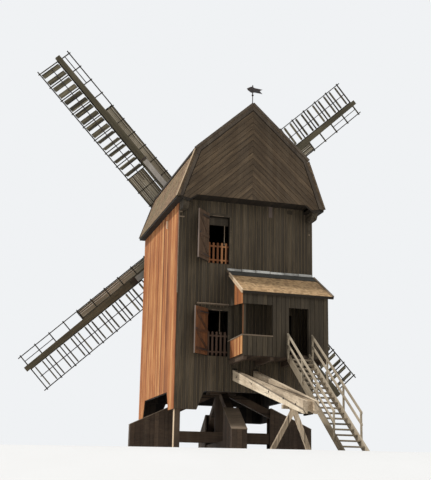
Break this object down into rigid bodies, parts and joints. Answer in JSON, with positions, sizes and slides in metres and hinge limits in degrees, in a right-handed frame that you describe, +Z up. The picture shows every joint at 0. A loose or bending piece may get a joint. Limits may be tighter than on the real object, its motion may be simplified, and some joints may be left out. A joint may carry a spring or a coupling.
{
  "type": "traditional windmill",
  "caption": "Timber post mill: a boarded body that turns on a trestle post, with a gambrel roof, a roofed porch and stair, and lattice sails with shutters.",
  "frame": {"origin": "on the ground under the axis of the main post", "axes": "+X along the rear wall to the porch, +Y from the rear wall to the sails, +Z up"},
  "size_m": [16.6184, 15.4279, 19.2603],
  "materials": {
    "trestle_timber": "weathered dark timber",
    "pier_stone": "rough stone",
    "dark_boards": "dark stained vertical boards",
    "frame_timber": "rough timber",
    "orange_boards": "orange-brown boards",
    "shingles": "weathered wooden shingles",
    "pale_timber": "bleached timber",
    "sail_timber": "grey-brown weathered timber",
    "iron": "dull dark iron"
  },
  "bodies": {
    "trestle": {"piers": "pier_stone", "cross_tree_lower": "trestle_timber", "cross_tree_upper": "trestle_timber", "quarter_bars": "trestle_timber", "arm_casings": "trestle_timber", "post": "trestle_timber", "saddle": "trestle_timber", "corner_prop": "trestle_timber"},
    "body": {"floor_beams": "frame_timber", "lower_floor": "frame_timber", "upper_floor": "frame_timber", "crown_frame": "frame_timber", "corner_posts": "frame_timber", "rear_wall": "dark_boards", "front_wall": "dark_boards", "left_wall": "orange_boards", "right_wall": "dark_boards", "corner_skirts": "dark_boards", "wall_plates": "frame_timber", "soffits": "dark_boards", "rear_gable": "dark_boards", "roof_lower": "shingles", "roof_upper": "shingles", "barge_boards": "dark_boards", "shaft_bearers": "frame_timber", "lower_door": "dark_boards", "upper_door": "dark_boards", "door_rails": "orange_boards", "rear_trim": "dark_boards", "porch_floor": "frame_timber", "porch_frame": "frame_timber", "porch_front": "dark_boards", "porch_sides": "orange_boards", "porch_roof": "shingles", "stair_stringers": "pale_timber", "stair_treads": "pale_timber", "stair_rails": "pale_timber", "tail_beams": "pale_timber", "tail_prop": "pale_timber", "vane_pole": "iron"},
    "sails": {"windshaft": "sail_timber", "stock_a": "sail_timber", "stock_b": "sail_timber", "sail_1": "sail_timber", "sail_2": "sail_timber", "sail_3": "sail_timber", "sail_4": "sail_timber", "shutters_1": "sail_timber", "shutters_2": "sail_timber", "shutters_3": "sail_timber", "shutters_4": "sail_timber"},
    "vane": {"vane": "iron"}
  },
  "joints": [
    {"name": "body_turn", "type": "hinge", "parent": "trestle", "child": "body", "pos_m": [0, 0, 6.2], "axis": [0, 0, 1], "continuous": true},
    {"name": "sails_turn", "type": "hinge", "parent": "body", "child": "sails", "pos_m": [0, 4.085, 11.12], "axis": [0, 0.9976, 0.0698], "continuous": true},
    {"name": "vane_turn", "type": "hinge", "parent": "body", "child": "vane", "pos_m": [0, -3.935, 14.95], "axis": [0, 0, 1], "continuous": true}
  ]
}
